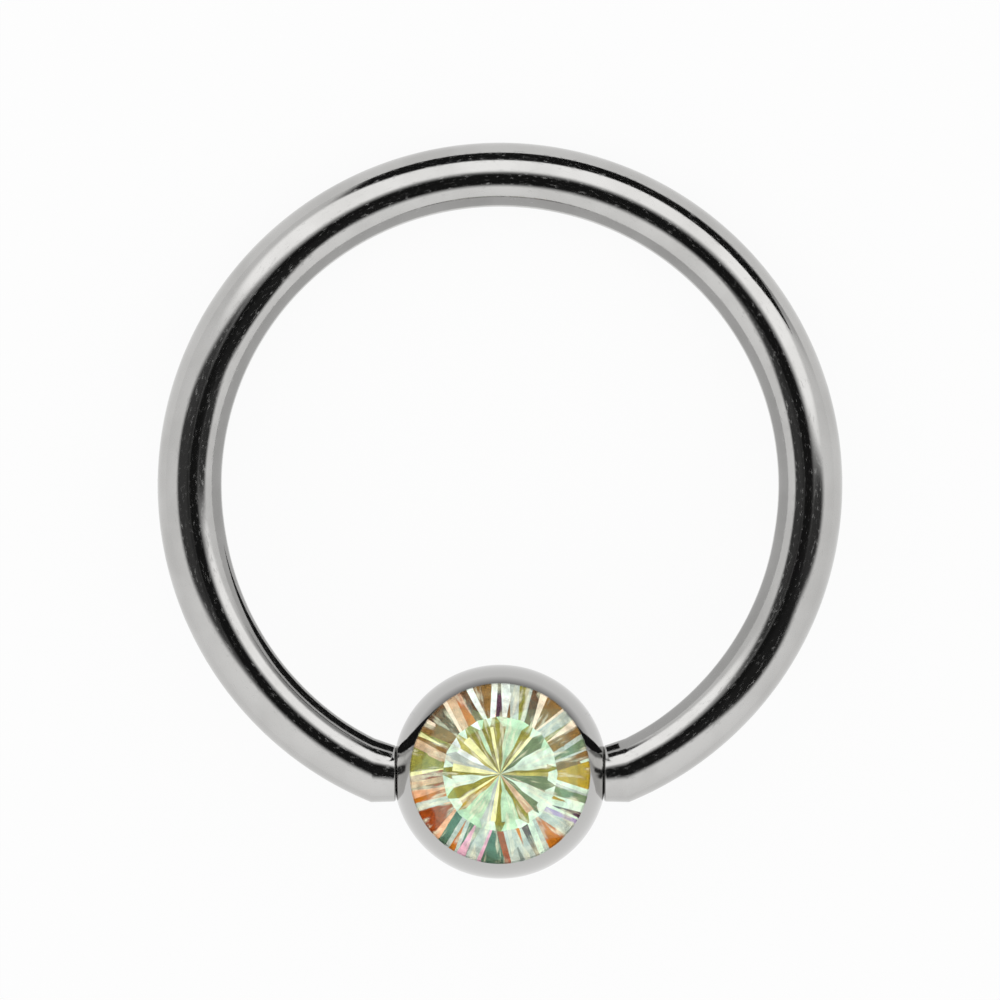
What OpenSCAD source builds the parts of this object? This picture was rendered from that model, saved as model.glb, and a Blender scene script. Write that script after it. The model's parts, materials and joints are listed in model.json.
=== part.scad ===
// Captive bead ring: a sprung wire hoop that holds a jewelled bead between its two ends.
//
// The ring lies on its side, as it would by itself: it rests on the back of the bead and on the
// far side of the hoop. The floor is z = 0, the bead is at -Y, and +Y points to the far side.
// The ring is drawn flat, with the bead's centre at the origin and the stone's axis along +Z, and
// is then tilted into its resting place.

/* [Wire] */
// Diameter of the round wire
wire_d = 1.2; // [1:0.1:1.6]
// Inner diameter of the hoop
hoop_inner_d = 10.4; // [9:0.1:14]

/* [Wire ends] */
// How much thinner the formed ends are than the wire, in radius
end_drop = 0.04; // [0.03:0.005:0.06]
// Length by which the full wire reaches over the start of each formed end
end_lap_length = 0.01; // [0.005:0.005:0.015]
// Radius on the inner side of the bend that turns each end towards the bead
bend_inner_r = 0.04; // [0.03:0.01:0.2]
// Radius of the rounded rim of each end face
end_round = 0.07; // [0.05:0.01:0.2]
// Space between each end face and the bead, on the axis through the ends
end_gap = 0.02; // [0.02:0.01:0.1]
// Diameter of the locating tip on each end face
tip_d = 0.6; // [0.4:0.05:0.7]
// Length of each tip inside the bead
tip_in = 0.32; // [0.25:0.01:0.4]
// Radius of the rounded rim of each tip
tip_round = 0.1; // [0.05:0.01:0.15]
// Clearance round and in front of each tip in its dimple
tip_clear = 0.03; // [0.02:0.005:0.05]

/* [Bead] */
// Diameter of the bead
bead_d = 4; // [4:0.1:5]
// Width of the metal that shows round the stone, out to the bead's outline
bezel_w = 0.35; // [0.3:0.01:0.6]
// Thickness of the wall round the stone's girdle
bezel_wall = 0.1; // [0.08:0.01:0.14]
// How far the rim of the bead reaches in over the edge of the stone
rim_cover = 0.05; // [0.04:0.005:0.07]
// Width of the flat on top of the rim
rim_flat = 0.05; // [0.03:0.005:0.06]
// Slope of the rim's underside, which clears the crown of the stone
rim_slope = 50; // [48:1:54]

/* [Stone] */
// Number of kite facets round the crown
kites = 8; // [8:1:12]
// Table, corner to corner, as a share of the stone's diameter
table_share = 0.57; // [0.5:0.01:0.62]
// Ring where the stars meet the upper halves, as a share of the stone's diameter
star_share = 0.76; // [0.72:0.01:0.8]
// Angle of the kite facets
crown_angle = 36; // [32:1:38]
// Thickness of the girdle
girdle_t = 0.05; // [0.03:0.01:0.08]
// Angle of the main pavilion facets
pavilion_angle = 41; // [38:1:43]
// Ring where the pavilion mains meet the lower halves, as a share of the stone's diameter
lower_share = 0.2; // [0.15:0.01:0.3]
// Clearance between the stone and its seat
stone_clear = 0.02; // [0.01:0.005:0.03]

/* [Hidden] */
$fn = 128;

wire_r = wire_d / 2;
hoop_r = hoop_inner_d / 2 + wire_r;
end_r = wire_r - end_drop;
bend_r = bend_inner_r + wire_r;
tip_r = tip_d / 2;
bead_r = bead_d / 2;

// The bend ends where the rounded rim of the end face begins, and the wire points along X there.
bend_end_x = bead_r + end_gap + end_round;
end_angle = asin(bend_end_x / (hoop_r - bend_r));
hoop_from = end_angle - end_lap_length / hoop_r * 180 / PI;
hoop_y = (hoop_r - bend_r) * cos(end_angle) + bend_r;

// Resting place: the bead and the far side of the hoop both touch the floor.
reach = hoop_y + hoop_r;
tilt = asin((bead_r - wire_r) / reach);
bead_y = -(reach * cos(tilt) + wire_r - bead_r) / 2;

// The seat of the stone, measured from the bead's centre.
opening_r = bead_r - bezel_w;
stone_r = opening_r + rim_cover;
seat_r = stone_r + stone_clear;
girdle_top = sqrt(pow(bead_r, 2) - pow(seat_r + bezel_wall, 2));
girdle_low = girdle_top - girdle_t;
culet_z = girdle_low - stone_r * tan(pavilion_angle);
seat_drop = stone_clear / cos(pavilion_angle);
seat_low = culet_z - seat_drop;
seat_edge = seat_low + seat_r * tan(pavilion_angle);
rim_under = girdle_top + stone_clear + (seat_r - opening_r) * tan(rim_slope);
rim_top = sqrt(pow(bead_r, 2) - pow(opening_r + rim_flat, 2));

// The stone's facets. The kites are flat, so the height of each star point follows from them, and
// the pavilion mains fix the height of the lower points in the same way.
half_step = 180 / kites;
table_r = stone_r * table_share;
star_r = stone_r * star_share;
lower_r = stone_r * lower_share;
table_z = girdle_top + (stone_r - table_r) * tan(crown_angle);
star_z = table_z - (star_r * cos(half_step) - table_r) * tan(crown_angle);
lower_z = culet_z + lower_r * cos(half_step) * tan(pavilion_angle);

// Tilts a flat drawing into its resting place
module at_rest() {
    translate([0, bead_y, bead_r]) rotate([-tilt, 0, 0]) children();
}

// An arc of wire of radius r, whose centre line has the given radius. It starts at an angle that is
// counted from straight below its centre.
module wire_arc(r, line_r, from, sweep) {
    rotate([0, 0, from - 90]) rotate_extrude(angle = sweep) translate([line_r, 0]) circle(r = r);
}

// Half section of a round end of radius r and length l, with its rim rounded
module round_end(r, l, rim) {
    square([r - rim, l]);
    square([r, l - rim]);
    translate([r - rim, l - rim]) circle(r = rim);
}

// Half section of the rounded stretch that ends in the flat face
module end_face() {
    square([end_r - end_round, end_round]);
    intersection() {
        translate([end_r - end_round, 0]) circle(r = end_round);
        square([end_r, end_round]);
    }
}

// The bend, the rounded end face and the locating tip on the +X side
module wire_end() {
    translate([bend_end_x, bend_r, 0]) wire_arc(end_r, bend_r, 0, end_angle);
    translate([bend_end_x, 0, 0]) rotate([0, -90, 0]) rotate_extrude() {
        end_face();
        round_end(tip_r, end_round + end_gap + tip_in, tip_round);
    }
}

module ring() {
    color("silver") at_rest() {
        translate([0, hoop_y, 0]) wire_arc(wire_r, hoop_r, hoop_from, 360 - 2 * hoop_from);
        for (side = [0, 1]) mirror([side, 0, 0]) wire_end();
    }
}

// The space for the stone: a conical seat, the girdle's wall, the undercut of the rim and the
// opening above it
module stone_seat() {
    rotate_extrude() polygon([
        [0, seat_low],
        [seat_r, seat_edge],
        [seat_r, girdle_top + stone_clear],
        [opening_r, rim_under],
        [opening_r, rim_top],
        [bead_r, rim_top],
        [bead_r, bead_d],
        [0, bead_d]
    ]);
}

// The hole that takes a locating tip, on the +X side
module dimple() {
    depth = tip_in + tip_clear;
    translate([bead_r - depth, 0, 0]) rotate([0, 90, 0]) cylinder(r = tip_r + tip_clear, h = bead_r);
}

module bead() {
    color("gainsboro") at_rest() difference() {
        sphere(r = bead_r);
        stone_seat();
        for (side = [0, 1]) mirror([side, 0, 0]) dimple();
    }
}

// Points evenly round the stone's axis: count of them, the first one turned by the given angle
function round_axis(r, z, count, turn) =
    [for (i = [0:count - 1]) let (a = turn + i * 360 / count) [r * cos(a), r * sin(a), z]];

// Facets are listed by the rings of points that they join, so each ring's first index is named.
module stone() {
    table_at = 0;
    star_at = table_at + kites;
    upper_at = star_at + kites;
    under_at = upper_at + 2 * kites;
    lower_at = under_at + 2 * kites;
    culet_at = lower_at + kites;
    points = concat(
        round_axis(table_r, table_z, kites, 0),
        round_axis(star_r, star_z, kites, half_step),
        round_axis(stone_r, girdle_top, 2 * kites, 0),
        round_axis(stone_r, girdle_low, 2 * kites, 0),
        round_axis(lower_r, lower_z, kites, half_step),
        [[0, 0, culet_z]]
    );
    facets = concat(
        [[for (i = [kites - 1:-1:0]) table_at + i]],
        [for (i = [0:kites - 1]) let (next = (i + 1) % kites)
            [table_at + i, table_at + next, star_at + i]],
        [for (i = [0:kites - 1]) let (back = (i + kites - 1) % kites)
            [table_at + i, star_at + i, upper_at + 2 * i, star_at + back]],
        [for (i = [0:kites - 1]) [star_at + i, upper_at + 2 * i + 1, upper_at + 2 * i]],
        [for (i = [0:kites - 1]) let (next = (i + 1) % kites)
            [star_at + i, upper_at + 2 * next, upper_at + 2 * i + 1]],
        [for (i = [0:2 * kites - 1]) let (next = (i + 1) % (2 * kites))
            [upper_at + i, upper_at + next, under_at + next, under_at + i]],
        [for (i = [0:kites - 1]) [lower_at + i, under_at + 2 * i, under_at + 2 * i + 1]],
        [for (i = [0:kites - 1]) let (next = (i + 1) % kites)
            [lower_at + i, under_at + 2 * i + 1, under_at + 2 * next]],
        [for (i = [0:kites - 1]) let (back = (i + kites - 1) % kites)
            [culet_at, lower_at + back, under_at + 2 * i, lower_at + i]]
    );
    color("palegreen") at_rest() polyhedron(points = points, faces = facets, convexity = 2);
}

ring();
bead();
stone();
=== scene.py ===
"""Looks of a captive bead ring: a polished wire hoop, a steel bead and the crystal set in it.

Every piece is drawn flat round the bead's centre, with the stone's axis along +Z and the hoop
towards +Y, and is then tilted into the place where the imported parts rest. All sizes are in metres.
"""

import json
import logging
import math
import random
from dataclasses import dataclass
from enum import Enum
from typing import Any, Sequence

import bmesh
import bpy
from mathutils import Color, Matrix, Vector

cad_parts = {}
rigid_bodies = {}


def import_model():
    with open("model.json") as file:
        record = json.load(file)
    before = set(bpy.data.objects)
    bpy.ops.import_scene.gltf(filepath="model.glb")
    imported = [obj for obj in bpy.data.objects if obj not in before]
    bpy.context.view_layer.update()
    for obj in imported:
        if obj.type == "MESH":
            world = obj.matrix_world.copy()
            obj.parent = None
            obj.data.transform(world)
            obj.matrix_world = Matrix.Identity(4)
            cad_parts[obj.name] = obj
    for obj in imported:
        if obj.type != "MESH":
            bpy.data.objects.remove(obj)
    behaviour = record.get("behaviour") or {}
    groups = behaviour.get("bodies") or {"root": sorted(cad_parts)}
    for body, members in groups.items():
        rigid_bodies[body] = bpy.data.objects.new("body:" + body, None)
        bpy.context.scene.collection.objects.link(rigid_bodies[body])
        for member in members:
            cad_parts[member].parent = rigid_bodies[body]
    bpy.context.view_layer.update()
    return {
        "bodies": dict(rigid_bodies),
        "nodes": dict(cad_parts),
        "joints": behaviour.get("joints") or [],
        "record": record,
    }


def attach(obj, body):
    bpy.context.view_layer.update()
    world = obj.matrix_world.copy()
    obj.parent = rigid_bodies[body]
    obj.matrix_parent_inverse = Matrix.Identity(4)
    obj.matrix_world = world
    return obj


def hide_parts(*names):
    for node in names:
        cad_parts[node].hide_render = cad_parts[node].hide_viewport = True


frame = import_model()

log = logging.getLogger("captive_bead_ring")

MM = 0.001
TOUCH = 1e-5 * MM
FULL_TURN = 2 * math.pi
DEGREES_ROUND = 360
SCREEN_WHITE = 255
NO_EDGE_SHARP = math.pi
EVERY_EDGE_SHARP = 0.0
GRAIN_RUN = "grain_run"
COAT_TINT_AND_PAINTED_FIRE = "coat_tint_and_painted_fire"


class Body(Enum):
    """The two bodies that pieces ride on."""

    HOOP = "hoop"
    JEWELLED_BEAD = "jewelled_bead"


class Slot(Enum):
    """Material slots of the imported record."""

    WIRE_STEEL = "wire_steel"
    BEAD_STEEL = "bead_steel"
    CRYSTAL = "crystal"


class Detail(Enum):
    """Octaves of finer noise that ride on a noise."""

    SMOOTH = 1.0
    FINE = 2.0
    FINEST = 3.0


class SeenBy(Enum):
    """What alone sees a piece of the studio."""

    MIRRORS = "mirrors"
    GLASS = "glass"


class Tint(Enum):
    """Colours painted on the crystal's crown, as a screen shows them, from 0 to 255: the coat's own tints
    with painted reflection and fire.
    """

    CLEAR = (255, 255, 255)
    WHITE_MINT = (238, 255, 240)
    PALE_MINT = (216, 244, 214)
    MINT = (188, 228, 184)
    GREY_MINT = (186, 202, 186)
    GREY_GREEN = (140, 156, 142)
    SAGE = (118, 142, 104)
    PINE = (82, 112, 88)
    OLIVE = (148, 148, 68)
    KHAKI = (188, 188, 104)
    LEMON = (240, 248, 176)
    GOLD = (184, 162, 56)
    CREAM = (246, 234, 200)
    TAN = (208, 182, 142)
    PEACH = (232, 178, 132)
    AMBER = (190, 116, 36)
    RUST = (156, 74, 28)
    BROWN = (142, 112, 62)
    UMBER = (108, 84, 58)
    PLUM = (96, 70, 82)
    LILAC = (176, 164, 192)
    ROSE = (224, 176, 190)

    @property
    def rgba(self) -> tuple[float, float, float, float]:
        """The tint in linear light, with full opacity."""
        return (*Color([channel / SCREEN_WHITE for channel in self.value]).from_srgb_to_scene_linear(), 1.0)


@dataclass(frozen=True)
class RestingPlace:
    """Where the ring lies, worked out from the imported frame.

    Attributes:
        bead_centre: Centre of the bead.
        far_wire: Centre of the wire on the side away from the bead.
    """

    bead_centre: Vector
    far_wire: Vector

    @classmethod
    def from_frame(cls, packed: dict[str, Any]) -> "RestingPlace":
        """Reads the bead's joint and the wire's mount.


        Returns:
            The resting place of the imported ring.
        """
        bead_turn = packed["joints"][0]
        piercing_wire = packed["record"]["mounts"][0]
        return cls(Vector(bead_turn["pos_m"]), Vector(piercing_wire["pos_m"]))

    @property
    def tilt(self) -> float:
        """How far the ring leans down from the bead to the far side."""
        drop = self.bead_centre.z - self.far_wire.z
        return math.atan2(drop, self.far_wire.y - self.bead_centre.y)

    @property
    def matrix(self) -> Matrix:
        """Takes the flat drawing to its resting place."""
        return Matrix.Translation(self.bead_centre) @ Matrix.Rotation(-self.tilt, 4, "X")


class ShaderSheet:
    """A node tree that is written one node at a time."""

    def __init__(self, tree: bpy.types.NodeTree) -> None:
        """Empties the node tree of a material or of the world."""
        self.tree = tree
        tree.nodes.clear()

    def node(self, kind: str, inputs: dict[str | int, Any] | None = None, **settings: Any) -> Any:
        """Adds a node.

        Args:
            kind: Blender's name of the node type.
            inputs: Values or output sockets, by the name or place of the input.
            **settings: Properties of the node itself.

        Returns:
            The new node.
        """
        made = self.tree.nodes.new(kind)
        for name, value in settings.items():
            setattr(made, name, value)
        for name, value in (inputs or {}).items():
            if isinstance(value, bpy.types.NodeSocket):
                self.tree.links.new(value, made.inputs[name])
            else:
                made.inputs[name].default_value = value
        return made

    def math(self, operation: str, *values: Any) -> bpy.types.NodeSocket:
        """Works on numbers with a Math node."""
        return self.node("ShaderNodeMath", dict(enumerate(values)), operation=operation).outputs[0]

    def vector(self, operation: str, *values: Any) -> bpy.types.NodeSocket:
        """Works on vectors with a Vector Math node."""
        made = self.node("ShaderNodeVectorMath", dict(enumerate(values)), operation=operation)
        return made.outputs[0]

    def length(self, vector: Any) -> bpy.types.NodeSocket:
        """Measures a vector."""
        return self.node("ShaderNodeVectorMath", {0: vector}, operation="LENGTH").outputs["Value"]

    def scaled(self, vector: Any, factor: Any) -> bpy.types.NodeSocket:
        """Multiplies a vector or a colour by a number."""
        made = self.node("ShaderNodeVectorMath", {0: vector, "Scale": factor}, operation="SCALE")
        return made.outputs[0]

    def blend(self, share: Any, first: Any, second: Any) -> bpy.types.NodeSocket:
        """Mixes two numbers: a share of 0 is all the first, 1 is all the second."""
        mixed = self.node("ShaderNodeMix", {0: share, 2: first, 3: second}, data_type="FLOAT")
        return mixed.outputs[0]

    def blend_colours(self, share: Any, first: Any, second: Any) -> bpy.types.NodeSocket:
        """Mixes two colours: a share of 0 is all the first, 1 is all the second."""
        mixed = self.node("ShaderNodeMix", {0: share, 6: first, 7: second}, data_type="RGBA")
        return mixed.outputs[2]

    def run(self) -> bpy.types.NodeSocket:
        """Reads the coordinates that a piece's finish follows."""
        return self.node("ShaderNodeAttribute", attribute_name=GRAIN_RUN).outputs["Vector"]

    def coat_tint_and_painted_fire(self) -> bpy.types.NodeSocket:
        """Reads each facet's painted colour: the coat's tint with painted reflection and fire."""
        return self.node("ShaderNodeAttribute", attribute_name=COAT_TINT_AND_PAINTED_FIRE).outputs["Color"]

    def noise(self, run: Any, size: float, detail: Detail) -> bpy.types.NodeSocket:
        """Adds a noise whose blotches have the given size."""
        inputs = {"Vector": run, "Scale": 1 / size, "Detail": detail.value}
        return self.node("ShaderNodeTexNoise", inputs).outputs[0]

    def mapped(
        self,
        value: Any,
        source: tuple[float, float] = (0.0, 1.0),
        target: tuple[float, float] = (0.0, 1.0),
        smooth: bool = False,
    ) -> bpy.types.NodeSocket:
        """Maps a range of numbers onto another, and holds what lies outside it at its ends.

        Args:
            value: Number or socket to map.
            source: Where the range starts and ends.
            target: What its start and end become.
            smooth: Whether it eases in and out.

        Returns:
            The mapped number.
        """
        inputs = {
            "Value": value,
            "From Min": source[0],
            "From Max": source[1],
            "To Min": target[0],
            "To Max": target[1],
        }
        way = "SMOOTHSTEP" if smooth else "LINEAR"
        return self.node("ShaderNodeMapRange", inputs, interpolation_type=way).outputs[0]

    def glow(self, light: Any) -> bpy.types.NodeSocket:
        """Adds a white glow."""
        return self.node("ShaderNodeEmission", {"Strength": light}).outputs[0]

    def finish(self, shader: bpy.types.NodeSocket) -> None:
        """Gives the surface its shader."""
        self.node("ShaderNodeOutputMaterial", {"Surface": shader})

    def ramp(self, factor: bpy.types.NodeSocket, stops: Sequence[tuple[float, Sequence[float]]]) -> Any:
        """Adds a colour ramp.

        Args:
            factor: Socket that runs along the ramp.
            stops: Places and their colours, from low to high.

        Returns:
            The ramp's colour output.
        """
        made = self.node("ShaderNodeValToRGB", {0: factor})
        elements = made.color_ramp.elements
        for element, (place, colour) in zip(elements, (stops[0], stops[-1])):
            element.position = place
            element.color = (*colour, 1.0)
        for place, colour in stops[1:-1]:
            elements.new(place).color = (*colour, 1.0)
        return made.outputs[0]


def new_material(name: str) -> tuple[bpy.types.Material, ShaderSheet]:
    """Starts a material.

    Args:
        name: Name of the material.

    Returns:
        The material, and the sheet that its nodes go on.
    """
    made = bpy.data.materials.new(name)
    made.use_nodes = True
    return made, ShaderSheet(made.node_tree)


def glowing_material(name: str, light: float) -> bpy.types.Material:
    """Makes the finish of a surface that glows evenly.

    Args:
        name: Name of the material.
        light: How brightly it shines.

    Returns:
        The material.
    """
    made, sheet = new_material(name)
    sheet.finish(sheet.glow(light))
    return made


@dataclass(frozen=True)
class PolishedSteel:
    """Surgical steel with a high polish: fine drawing marks and small dull specks.

    Attributes:
        name: Name of the material.
        slot: Material slot of the record that it stands for. Not used.
        bright: Colour of the clean polish.
        dull: Colour of the faintly stained patches.
        stain_range: Noise below which the steel is stained, and above which it is clean.
        polish: Roughness of the clean polish.
        haze: How much rougher the hazed patches are.
        patch: Size of the stained patches.
        haze_patch: Size of the hazed patches.
        speck: Roughness of the specks.
        speck_range: Noise above which a speck shows, and above which it is at its roughest.
        grain: Size of the specks across the grain.
        mark: Size of the drawing marks across the grain.
        grain_stretch: How much longer than wide the marks are.
        depth: Depth of the drawing marks.
    """

    name: str
    slot: Slot
    bright: tuple[float, float, float] = (0.52, 0.515, 0.505)
    dull: tuple[float, float, float] = (0.47, 0.465, 0.455)
    stain_range: tuple[float, float] = (0.35, 0.6)
    polish: float = 0.05
    haze: float = 0.07
    patch: float = 0.9 * MM
    haze_patch: float = 0.3 * MM
    speck: float = 0.3
    speck_range: tuple[float, float] = (0.5, 0.78)
    grain: float = 0.04 * MM
    mark: float = 0.02 * MM
    grain_stretch: float = 3.0
    depth: float = 0.00012 * MM

    def material(self) -> bpy.types.Material:
        """Makes the material.

        Returns:
            The finished steel.
        """
        made, sheet = new_material(self.name)
        run = sheet.run()
        squeeze = (1 / self.grain_stretch, 1.0, 1.0)
        squeezed = sheet.node("ShaderNodeMapping", {"Vector": run, "Scale": squeeze}).outputs[0]
        stains = sheet.noise(run, self.patch, Detail.FINEST)
        specks = sheet.noise(squeezed, self.grain, Detail.FINE)
        marks = sheet.noise(squeezed, self.mark, Detail.SMOOTH)
        haze = sheet.noise(squeezed, self.haze_patch, Detail.FINEST)
        stained, clean = self.stain_range
        colour = sheet.ramp(stains, [(stained, self.dull), (clean, self.bright)])
        speckle = sheet.mapped(specks, self.speck_range, smooth=True)
        hazed = sheet.math("MULTIPLY_ADD", haze, self.haze, self.polish)
        roughness = sheet.blend(speckle, hazed, self.speck)
        bump = sheet.node("ShaderNodeBump", {"Height": marks, "Distance": self.depth, "Strength": 1.0})
        shader = sheet.node(
            "ShaderNodeBsdfPrincipled",
            {
                "Base Color": colour,
                "Metallic": 1.0,
                "Roughness": roughness,
                "Normal": bump.outputs[0],
            },
        )
        sheet.finish(shader.outputs[0])
        return made


@dataclass(frozen=True)
class CoatedCrystal:
    """The crown of the stone: lead glass that tints the light coming up through it with each facet's
    painted colour, the coat's tint with painted reflection and fire.

    Attributes:
        name: Name of the material.
        refraction: Refractive index of the glass.
        coat_thickness: Thickness of the iridescent coat, in nanometres.
        coat_refraction: Refractive index of the coat.
        haze: Roughness where the polish is slightly hazed.
        cloud: Size of the hazed patches.
        mottle: How much of its brightness a tint loses in its deeper patches.
        mottle_size: Size of those patches.
        mottle_range: Noise below which a patch is deepest, and above which it is clear.
        streak_turn: Angle that a painted streak of light, a painted glint, spans, seen from the stone's
            axis.
        streak_run: Length of a streak.
        streak_range: Noise above which a streak shows, and above which it is at its brightest.
        streak: How much of the tint the brightest streak covers.
        streak_tint: Colour of the painted glint streaks.
    """

    name: str = "crystal_crown"
    refraction: float = 1.56
    coat_thickness: float = 380.0
    coat_refraction: float = 1.75
    haze: float = 0.03
    cloud: float = 0.6 * MM
    mottle: float = 0.55
    mottle_size: float = 0.22 * MM
    mottle_range: tuple[float, float] = (0.35, 0.65)
    streak_turn: float = math.radians(4.5)
    streak_run: float = 0.45 * MM
    streak_range: tuple[float, float] = (0.5, 0.68)
    streak: float = 0.36
    streak_tint: Tint = Tint.LEMON

    def material(self) -> bpy.types.Material:
        """Makes the material. Light is tinted where it leaves the stone, and only there.

        Returns:
            The finished glass.
        """
        made, sheet = new_material(self.name)
        place = sheet.run()
        cloud = sheet.noise(place, self.cloud, Detail.FINE)
        haze = sheet.mapped(cloud, target=(0.0, self.haze))
        # The facet tint is painted: the coat's colour with painted reflection and fire, bright rays and
        # dark wedges.
        tint = sheet.coat_tint_and_painted_fire()
        deepened = sheet.vector("MULTIPLY", tint, tint)
        patch = sheet.noise(place, self.mottle_size, Detail.FINEST)
        brightness = sheet.mapped(patch, self.mottle_range, (1 - self.mottle, 1.0))
        # Painted glints: where the streak noise is high, the tint is mixed towards a pale lemon highlight.
        lit = sheet.mapped(self.streaks(sheet, place), self.streak_range, (0.0, self.streak), smooth=True)
        streaked = sheet.blend_colours(lit, deepened, self.streak_tint.rgba)
        mottled = sheet.scaled(streaked, brightness)
        crossed = sheet.node("ShaderNodeLightPath").outputs["Transmission Depth"]
        # A ray from the eye that has crossed no glass yet stands for light that leaves the stone.
        leaving = sheet.math("LESS_THAN", crossed, 1.0)
        colour = sheet.blend_colours(leaving, Tint.CLEAR.rgba, mottled)
        shader = sheet.node(
            "ShaderNodeBsdfPrincipled",
            {
                "Base Color": colour,
                "Roughness": haze,
                "IOR": self.refraction,
                "Transmission Weight": 1.0,
                "Thin Film Thickness": self.coat_thickness,
                "Thin Film IOR": self.coat_refraction,
            },
        )
        sheet.finish(shader.outputs[0])
        return made

    def streaks(self, sheet: ShaderSheet, place: bpy.types.NodeSocket) -> Any:
        """Adds a noise that is drawn out along the stone's radii, which places the painted glint streaks.

        Args:
            sheet: Where the nodes go.
            place: Coordinates in metres, round the stone's axis.

        Returns:
            The noise value.
        """
        level = sheet.vector("MULTIPLY", place, (1.0, 1.0, 0.0))
        reach = sheet.math("DIVIDE", sheet.length(level), self.streak_run)
        aim = sheet.scaled(sheet.vector("NORMALIZE", level), 1 / self.streak_turn)
        along = sheet.node("ShaderNodeCombineXYZ", {"Z": reach}).outputs[0]
        return sheet.noise(sheet.vector("ADD", aim, along), 1.0, Detail.FINE)


@dataclass(frozen=True)
class MirrorFoil:
    """The pavilion of the stone, with the bright foil behind it.

    Attributes:
        name: Name of the material.
        roughness: How far each facet scatters what it mirrors.
        shimmer: How much the foil's brightness wanders inside a facet.
        cloud: Size of the brighter and darker patches.
    """

    name: str = "crystal_foil"
    roughness: float = 0.12
    shimmer: float = 0.05
    cloud: float = 0.5 * MM

    def material(self) -> bpy.types.Material:
        """Makes the material.

        Returns:
            The finished foil.
        """
        made, sheet = new_material(self.name)
        cloud = sheet.noise(sheet.run(), self.cloud, Detail.SMOOTH)
        shade = sheet.mapped(cloud, target=(1.0, 1 - self.shimmer))
        colour = sheet.scaled(sheet.coat_tint_and_painted_fire(), shade)
        shader = sheet.node(
            "ShaderNodeBsdfPrincipled",
            {"Base Color": colour, "Metallic": 1.0, "Roughness": self.roughness},
        )
        sheet.finish(shader.outputs[0])
        return made


class PieceMesh:
    """Points and faces of one piece, with the coordinates that its finish follows."""

    def __init__(self, name: str) -> None:
        """Starts an empty piece.

        Args:
            name: Name of the object.
        """
        self.name = name
        self.points: list[Vector] = []
        self.runs: list[Vector] = []
        self.faces: list[list[int]] = []

    def point(self, place: Vector, run: Vector) -> int:
        """Adds a point.

        Args:
            place: Where it is, in the flat drawing.
            run: Its coordinates along and across the grain.

        Returns:
            The point's index.
        """
        self.points.append(place)
        self.runs.append(run)
        return len(self.points) - 1

    def join_loops(self, first: Sequence[int], second: Sequence[int]) -> None:
        """Joins two closed loops of points with faces. A loop of one point is a pole.

        Args:
            first: Indices of the loop that the faces start from.
            second: Indices of the next loop.
        """
        count = max(len(first), len(second))
        for i in range(count):
            ahead = (i + 1) % count
            corners = [first[i % len(first)], first[ahead % len(first)]]
            corners += [second[ahead % len(second)], second[i % len(second)]]
            self.faces.append(list(dict.fromkeys(corners)))

    def circle(self, radius: float, height: float, count: int, offset: float = 0.0) -> list[int]:
        """Adds a level ring of points round the upright axis.

        Args:
            radius: Radius of the ring.
            height: Height of the ring.
            count: Number of points.
            offset: Angle of the first one.

        Returns:
            Indices of the points.
        """
        made = []
        for i in range(count):
            turn = offset + FULL_TURN * i / count
            place = Vector((radius * math.cos(turn), radius * math.sin(turn), height))
            made.append(self.point(place, place))
        return made

    def join_all(self, loops: Sequence[Sequence[int]]) -> None:
        """Joins each closed loop of points to the next."""
        for first, second in zip(loops, loops[1:]):
            self.join_loops(first, second)

    def build(self, sharp_angle: float) -> bpy.types.Object:
        """Makes the Blender object, still in the flat drawing.

        Args:
            sharp_angle: Edges that turn by more than this stay sharp.

        Returns:
            The new object.
        """
        mesh = bpy.data.meshes.new(self.name)
        mesh.from_pydata(self.points, [], self.faces)
        run = mesh.attributes.new(GRAIN_RUN, "FLOAT_VECTOR", "POINT")
        run.data.foreach_set("vector", [number for place in self.runs for number in place])
        mesh.shade_smooth()
        mesh.set_sharp_from_angle(angle=sharp_angle)
        made = bpy.data.objects.new(self.name, mesh)
        bpy.context.scene.collection.objects.link(made)
        return made


def steps(first: float, last: float, count: int) -> list[float]:
    """Spaces values evenly from the first to the last, one more of them than the count of steps."""
    return [first + (last - first) * i / count for i in range(count + 1)]


def clock_spot(clock: float, radius: float) -> Vector:
    """Finds a place on a clock face, in degrees clockwise from the far side, at height 0."""
    turn = math.radians(clock)
    return Vector((radius * math.sin(turn), radius * math.cos(turn), 0.0))


def seat(piece: bpy.types.Object, place: RestingPlace, body: Body, node: str) -> None:
    """Puts a finished piece in its resting place and ties it to the frame.

    Args:
        piece: The piece, in the flat drawing.
        place: Where the ring rests.
        body: What it moves with.
        node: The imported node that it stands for.
    """
    piece.data.transform(place.matrix)
    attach(piece, body.value)
    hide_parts(node)
    log.info("%s: %d faces on %s", piece.name, len(piece.data.polygons), body.value)


@dataclass(frozen=True)
class Station:
    """One oval of points round the wire.

    Attributes:
        outer: Its point on the outer side of the hoop, in the flat drawing.
        inner: Its point on the inner side.
        depth: Half its size along Z.
    """

    outer: Vector
    inner: Vector
    depth: float

    @property
    def centre(self) -> Vector:
        """Middle of the oval."""
        return (self.outer + self.inner) / 2

    def mirrored(self) -> "Station":
        """The same station at the other end of the wire."""
        flip = Vector((-1.0, 1.0, 1.0))
        return Station(self.outer * flip, self.inner * flip, self.depth)


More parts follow.
